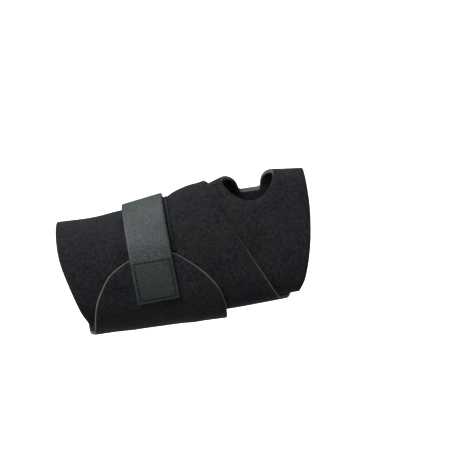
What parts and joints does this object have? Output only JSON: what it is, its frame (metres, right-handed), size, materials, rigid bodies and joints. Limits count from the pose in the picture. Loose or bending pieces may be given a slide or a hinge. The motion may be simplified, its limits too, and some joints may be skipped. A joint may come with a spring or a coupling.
{
  "type": "wrist splint",
  "caption": "Neoprene wrist splint with a thumb hole, a rounded closure flap, a hook-and-loop strap and a removable stay on the back.",
  "frame": {"origin": "middle of the wrist opening, on the arm's axis", "axes": "+X along the arm from the elbow to the fingers, +Z to the thumb side, -Y the palm side, +Y the back of the hand"},
  "size_m": [0.1773, 0.0703, 0.0987],
  "materials": {
    "neoprene": "matte knit-faced neoprene, grey-brown foam core at the cut edges",
    "webbing": "ribbed nylon webbing, slight sheen",
    "loop_pile": "matte brushed loop pile",
    "hook_tape": "moulded nylon hooks",
    "stay_metal": "satin",
    "stay_cap_plastic": "dipped vinyl",
    "pocket_cloth": "matte plain-woven nylon",
    "binding_tape": "ribbed tape",
    "thread": "polyester thread"
  },
  "bodies": {
    "wrap": {"hand_cuff": "neoprene", "wrist_wrap": "neoprene", "flap_root": "neoprene", "loop_strip": "loop_pile", "stay_pocket": "pocket_cloth", "pocket_binding": "binding_tape", "loop_stitches": "thread", "thumb_seam": "thread", "flap_seam": "thread", "pocket_stitches": "thread"},
    "flap": {"closure_flap": "neoprene", "strap_sewn_end": "webbing", "box_stitch": "thread"},
    "strap_bend": {"strap_middle": "webbing"},
    "strap_tail": {"strap_tail": "webbing", "hook_tab": "hook_tape", "tail_stitches": "thread"},
    "stay": {"stay": "stay_metal", "stay_caps": "stay_cap_plastic"}
  },
  "joints": [
    {"name": "flap_open", "type": "hinge", "parent": "wrap", "child": "flap", "pos_m": [-0.02, 0, -0.0465], "axis": [0.9996, 0, -0.0282], "range_deg": [0, 60]},
    {"name": "strap_unwrap", "type": "hinge", "parent": "flap", "child": "strap_bend", "pos_m": [-0.0195, -0.02246, 0.03349], "axis": [0.9985, -0.0304, 0.0453], "range_deg": [0, 144]},
    {"name": "tail_peel", "type": "hinge", "parent": "strap_bend", "child": "strap_tail", "pos_m": [-0.0195, 0.01903, 0.03877], "axis": [0.9964, 0.0373, 0.076], "range_deg": [0, 80]},
    {"name": "stay_slide", "type": "slide", "parent": "wrap", "child": "stay", "axis": [-0.9983, 0.059, 0], "range_m": [0, 0.11]}
  ],
  "couplings": [
    {"joint": "strap_unwrap", "follows": "flap_open", "ratio": 2.4}
  ]
}
